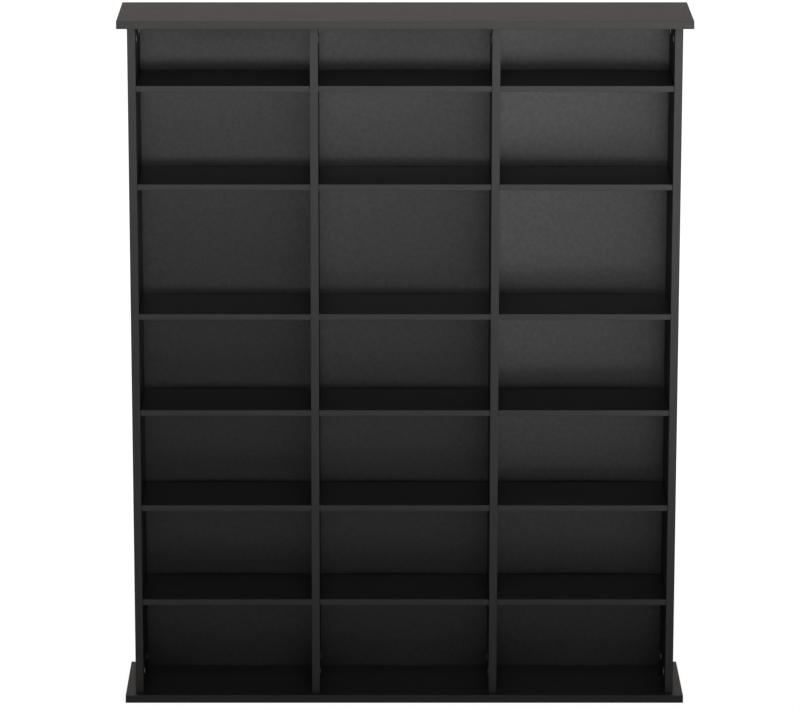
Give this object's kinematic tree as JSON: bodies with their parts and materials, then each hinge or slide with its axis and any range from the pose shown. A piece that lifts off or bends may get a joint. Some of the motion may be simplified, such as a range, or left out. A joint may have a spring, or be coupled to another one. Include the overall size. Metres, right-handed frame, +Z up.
{
  "type": "disc storage tower",
  "caption": "Wide open-front storage tower for cd and dvd cases: columns of pin-held shelves between side panels and dividers, with overhanging top and base boards.",
  "frame": {"origin": "on the floor under the middle of the base board", "axes": "+Z up, the open front faces -Y, +X to the right of someone who faces the front"},
  "size_m": [1.25, 0.241, 1.55],
  "materials": {
    "laminate": "black laminated particle board, fine texture, satin",
    "back_sheet": "black painted hardboard, slightly mottled, satin",
    "zinc": "bright zinc die casting"
  },
  "bodies": {
    "carcass": {"top_board": "laminate", "base_board": "laminate", "left_side_panel": "laminate", "left_divider": "laminate", "right_divider": "laminate", "right_side_panel": "laminate", "left_back": "back_sheet", "left_row_3_fixed_shelf": "laminate", "centre_back": "back_sheet", "centre_row_3_fixed_shelf": "laminate", "right_back": "back_sheet", "right_row_3_fixed_shelf": "laminate", "left_side_panel_cam_top_front": "zinc", "left_side_panel_cam_top_rear": "zinc", "left_side_panel_cam_base_front": "zinc", "left_side_panel_cam_base_rear": "zinc", "left_divider_cam_top_front": "zinc", "left_divider_cam_top_rear": "zinc", "left_divider_cam_base_front": "zinc", "left_divider_cam_base_rear": "zinc", "right_divider_cam_top_front": "zinc", "right_divider_cam_top_rear": "zinc", "right_divider_cam_base_front": "zinc", "right_divider_cam_base_rear": "zinc", "right_side_panel_cam_top_front": "zinc", "right_side_panel_cam_top_rear": "zinc", "right_side_panel_cam_base_front": "zinc", "right_side_panel_cam_base_rear": "zinc", "left_row_3_fixed_shelf_cam_left_front": "zinc", "left_row_3_fixed_shelf_cam_left_rear": "zinc", "left_row_3_fixed_shelf_cam_right_front": "zinc", "left_row_3_fixed_shelf_cam_right_rear": "zinc", "centre_row_3_fixed_shelf_cam_left_front": "zinc", "centre_row_3_fixed_shelf_cam_left_rear": "zinc", "centre_row_3_fixed_shelf_cam_right_front": "zinc", "centre_row_3_fixed_shelf_cam_right_rear": "zinc", "right_row_3_fixed_shelf_cam_left_front": "zinc", "right_row_3_fixed_shelf_cam_left_rear": "zinc", "right_row_3_fixed_shelf_cam_right_front": "zinc", "right_row_3_fixed_shelf_cam_right_rear": "zinc"},
    "left_row_1_shelf": {"left_row_1_shelf": "laminate"},
    "left_row_2_shelf": {"left_row_2_shelf": "laminate"},
    "left_row_4_shelf": {"left_row_4_shelf": "laminate"},
    "left_row_5_shelf": {"left_row_5_shelf": "laminate"},
    "left_row_6_shelf": {"left_row_6_shelf": "laminate"},
    "centre_row_1_shelf": {"centre_row_1_shelf": "laminate"},
    "centre_row_2_shelf": {"centre_row_2_shelf": "laminate"},
    "centre_row_4_shelf": {"centre_row_4_shelf": "laminate"},
    "centre_row_5_shelf": {"centre_row_5_shelf": "laminate"},
    "centre_row_6_shelf": {"centre_row_6_shelf": "laminate"},
    "right_row_1_shelf": {"right_row_1_shelf": "laminate"},
    "right_row_2_shelf": {"right_row_2_shelf": "laminate"},
    "right_row_4_shelf": {"right_row_4_shelf": "laminate"},
    "right_row_5_shelf": {"right_row_5_shelf": "laminate"},
    "right_row_6_shelf": {"right_row_6_shelf": "laminate"}
  },
  "joints": [
    {"name": "left_row_1_shelf_slide", "type": "slide", "parent": "carcass", "child": "left_row_1_shelf", "axis": [0, -1, 0], "range_m": [0, 0.19]},
    {"name": "left_row_2_shelf_slide", "type": "slide", "parent": "carcass", "child": "left_row_2_shelf", "axis": [0, -1, 0], "range_m": [0, 0.19]},
    {"name": "left_row_4_shelf_slide", "type": "slide", "parent": "carcass", "child": "left_row_4_shelf", "axis": [0, -1, 0], "range_m": [0, 0.19]},
    {"name": "left_row_5_shelf_slide", "type": "slide", "parent": "carcass", "child": "left_row_5_shelf", "axis": [0, -1, 0], "range_m": [0, 0.19]},
    {"name": "left_row_6_shelf_slide", "type": "slide", "parent": "carcass", "child": "left_row_6_shelf", "axis": [0, -1, 0], "range_m": [0, 0.19]},
    {"name": "centre_row_1_shelf_slide", "type": "slide", "parent": "carcass", "child": "centre_row_1_shelf", "axis": [0, -1, 0], "range_m": [0, 0.19]},
    {"name": "centre_row_2_shelf_slide", "type": "slide", "parent": "carcass", "child": "centre_row_2_shelf", "axis": [0, -1, 0], "range_m": [0, 0.19]},
    {"name": "centre_row_4_shelf_slide", "type": "slide", "parent": "carcass", "child": "centre_row_4_shelf", "axis": [0, -1, 0], "range_m": [0, 0.19]},
    {"name": "centre_row_5_shelf_slide", "type": "slide", "parent": "carcass", "child": "centre_row_5_shelf", "axis": [0, -1, 0], "range_m": [0, 0.19]},
    {"name": "centre_row_6_shelf_slide", "type": "slide", "parent": "carcass", "child": "centre_row_6_shelf", "axis": [0, -1, 0], "range_m": [0, 0.19]},
    {"name": "right_row_1_shelf_slide", "type": "slide", "parent": "carcass", "child": "right_row_1_shelf", "axis": [0, -1, 0], "range_m": [0, 0.19]},
    {"name": "right_row_2_shelf_slide", "type": "slide", "parent": "carcass", "child": "right_row_2_shelf", "axis": [0, -1, 0], "range_m": [0, 0.19]},
    {"name": "right_row_4_shelf_slide", "type": "slide", "parent": "carcass", "child": "right_row_4_shelf", "axis": [0, -1, 0], "range_m": [0, 0.19]},
    {"name": "right_row_5_shelf_slide", "type": "slide", "parent": "carcass", "child": "right_row_5_shelf", "axis": [0, -1, 0], "range_m": [0, 0.19]},
    {"name": "right_row_6_shelf_slide", "type": "slide", "parent": "carcass", "child": "right_row_6_shelf", "axis": [0, -1, 0], "range_m": [0, 0.19]}
  ]
}
